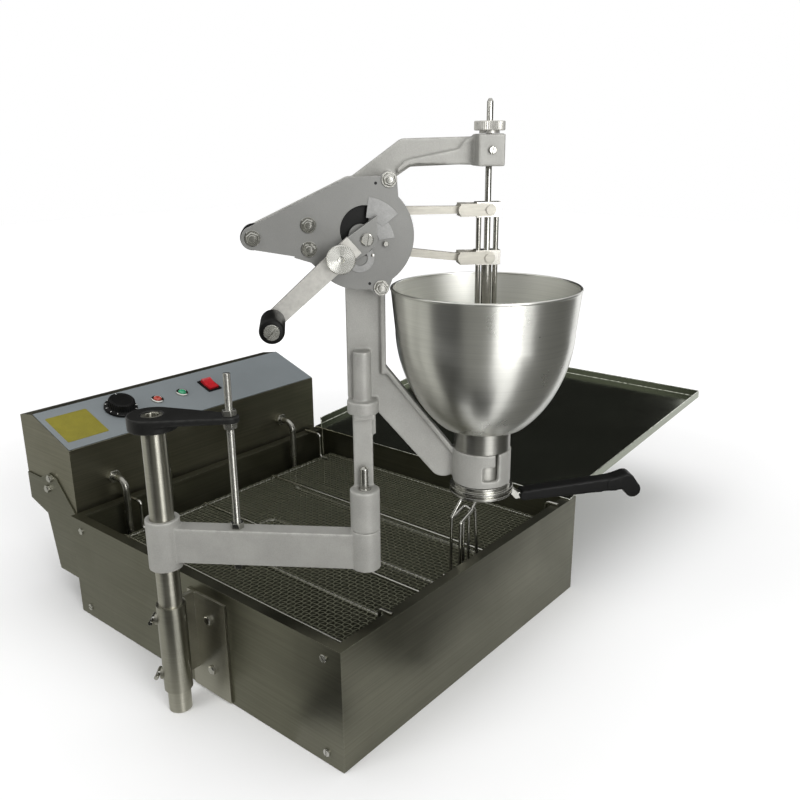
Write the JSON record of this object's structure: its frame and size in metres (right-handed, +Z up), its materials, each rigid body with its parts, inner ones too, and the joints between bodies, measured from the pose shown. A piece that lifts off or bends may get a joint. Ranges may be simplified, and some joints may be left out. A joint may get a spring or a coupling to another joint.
{
  "type": "donut fryer with manual depositor",
  "caption": "Bench donut fryer: stainless oil tank with sloped control head, wire screen and drain tray, and a hand-cranked batter depositor on a jointed swing arm.",
  "frame": {"origin": "middle of the tank's bottom, on the bench", "axes": "+Z up; the tank's front faces -Y, the control head stands behind it at +Y, the post is at -X and the drain tray at +X"},
  "size_m": [1.0045, 0.8153, 0.661],
  "materials": {
    "dark_stainless": "brushed sheet, dark olive reflections",
    "tray_stainless": "brushed sheet, dark",
    "bright_steel": "satin",
    "polished_steel": "polished tube",
    "machined_steel": "turned and milled",
    "ivory_steel": "satin, warm",
    "heater_steel": "dull",
    "net_steel": "woven wire, dull",
    "spun_stainless": "spun, brushed round the axis",
    "cast_aluminium": "satin casting",
    "grey_plate": "satin grey",
    "black_metal": "satin black",
    "facia_blue_grey": "satin",
    "chrome": "bright",
    "lamp_red": "clear red lens",
    "lamp_green": "clear green lens",
    "rocker_red": "glossy",
    "black_plastic": "satin black",
    "cream_plastic": "moulded"
  },
  "bodies": {
    "fryer": {"tank_casing": "dark_stainless", "side_panels": "dark_stainless", "panel_screws": "bright_steel", "oil_pan": "dark_stainless", "base_plate": "dark_stainless", "rear_bracket": "dark_stainless", "bracket_bolts": "bright_steel", "head_shell": "dark_stainless", "control_facia": "facia_blue_grey", "lamp_bezels": "chrome", "red_lamp": "lamp_red", "green_lamp": "lamp_green", "switch_frame": "black_plastic", "thermostat_body": "cream_plastic", "thermostat_probe": "bright_steel", "terminal_block": "cream_plastic", "cable_gland": "black_plastic", "heating_tube": "heater_steel", "heater_glands": "bright_steel", "tray_brackets": "dark_stainless", "post_sleeve": "polished_steel", "post": "polished_steel"},
    "tray": {"drain_tray": "tray_stainless"},
    "screen": {"screen_frame": "bright_steel", "screen_net": "net_steel", "screen_hangers": "bright_steel", "screen_handle": "bright_steel"},
    "thermostat": {"thermostat_knob": "black_plastic"},
    "rocker": {"switch_rocker": "rocker_red"},
    "upper_clamp": {"upper_clamp_screw": "bright_steel"},
    "lower_clamp": {"lower_clamp_screw": "bright_steel"},
    "mast": {"mast_cap": "black_metal", "cap_nuts": "bright_steel"},
    "arm": {"swing_arm": "cast_aluminium", "lifting_rod": "bright_steel", "arm_nuts": "bright_steel", "elbow_pin": "polished_steel"},
    "depositor": {"stand": "cast_aluminium", "depositor_casting": "cast_aluminium", "front_plate": "grey_plate", "housing_bolts": "bright_steel", "tail_roller": "black_plastic", "guide_spindle": "bright_steel", "hopper": "spun_stainless", "nozzle": "spun_stainless", "steering_ring": "polished_steel", "steering_handle": "black_plastic"},
    "crank": {"crank_shaft": "machined_steel", "upper_cam": "black_metal", "lower_cam": "machined_steel", "crank_arm": "machined_steel", "grip_bolt": "bright_steel"},
    "grip": {"crank_grip": "black_plastic"},
    "stroke": {"stroke_knob": "machined_steel"},
    "guide": {"guide_knob": "machined_steel"},
    "lifting_lever": {"upper_lever": "ivory_steel"},
    "cutting_lever": {"lower_lever": "ivory_steel"},
    "plunger": {"piston_rods": "ivory_steel", "piston": "machined_steel"},
    "cutter": {"cutter_tube": "ivory_steel"}
  },
  "joints": [
    {"name": "thermostat_turn", "type": "hinge", "parent": "fryer", "child": "thermostat", "pos_m": [-0.113, 0.30786, 0.25497], "axis": [0, -0.3443, 0.9389], "range_deg": [-270, 0]},
    {"name": "rocker_tilt", "type": "hinge", "parent": "fryer", "child": "rocker", "pos_m": [0.046, 0.30597, 0.2514], "axis": [1, 0, 0], "range_deg": [-14, 0]},
    {"name": "upper_clamp_turn", "type": "hinge", "parent": "fryer", "child": "upper_clamp", "pos_m": [-0.2815, -0.029, 0.116], "axis": [-0.6428, 0.766, 0], "continuous": true},
    {"name": "lower_clamp_turn", "type": "hinge", "parent": "fryer", "child": "lower_clamp", "pos_m": [-0.2815, -0.029, 0.045], "axis": [-0.6428, 0.766, 0], "continuous": true},
    {"name": "screen_lift", "type": "slide", "parent": "fryer", "child": "screen", "axis": [0, 0, 1], "range_m": [0, 0.03]},
    {"name": "tray_lift", "type": "slide", "parent": "fryer", "child": "tray", "axis": [0, 0, 1], "range_m": [0, 0.04]},
    {"name": "shoulder_swing", "type": "hinge", "parent": "fryer", "child": "mast", "pos_m": [-0.2815, -0.029, 0.3], "axis": [0, 0, 1], "range_deg": [-60, 35]},
    {"name": "arm_height", "type": "slide", "parent": "mast", "child": "arm", "axis": [0, 0, 1], "range_m": [-0.01, 0.04]},
    {"name": "elbow_swing", "type": "hinge", "parent": "arm", "child": "depositor", "pos_m": [-0.15626, -0.20987, 0.25], "axis": [0, 0, 1], "range_deg": [-100, 90]},
    {"name": "crank_turn", "type": "hinge", "parent": "depositor", "child": "crank", "pos_m": [-0.15626, -0.20987, 0.54], "axis": [0.6871, 0.7266, 0], "range_deg": [0, 110]},
    {"name": "lifting_lever_tilt", "type": "hinge", "parent": "depositor", "child": "lifting_lever", "pos_m": [-0.19113, -0.17689, 0.551], "axis": [0.6871, 0.7266, 0], "range_deg": [-6.73, 0]},
    {"name": "cutting_lever_tilt", "type": "hinge", "parent": "depositor", "child": "cutting_lever", "pos_m": [-0.19113, -0.17689, 0.529], "axis": [0.6871, 0.7266, 0], "range_deg": [0, 6.05]},
    {"name": "piston_lift", "type": "slide", "parent": "depositor", "child": "plunger", "axis": [0, 0, 1], "range_m": [0, 0.02001]},
    {"name": "cutter_drop", "type": "slide", "parent": "depositor", "child": "cutter", "axis": [0, 0, -1], "range_m": [0, 0.01801]},
    {"name": "grip_spin", "type": "hinge", "parent": "crank", "child": "grip", "pos_m": [-0.25509, -0.19211, 0.46593], "axis": [0.6871, 0.7266, 0], "continuous": true},
    {"name": "stroke_knob_turn", "type": "hinge", "parent": "crank", "child": "stroke", "pos_m": [-0.19571, -0.22211, 0.52214], "axis": [0.6871, 0.7266, 0], "continuous": true},
    {"name": "guide_knob_turn", "type": "hinge", "parent": "depositor", "child": "guide", "pos_m": [-0.06689, -0.29438, 0.636], "axis": [0, 0, 1], "continuous": true}
  ],
  "couplings": [
    {"joint": "lifting_lever_tilt", "follows": "crank_turn", "ratio": -0.06106},
    {"joint": "cutting_lever_tilt", "follows": "crank_turn", "ratio": 0.05493},
    {"joint": "piston_lift", "follows": "crank_turn", "m_per_rad": 0.010417},
    {"joint": "cutter_drop", "follows": "crank_turn", "m_per_rad": 0.0093757}
  ]
}
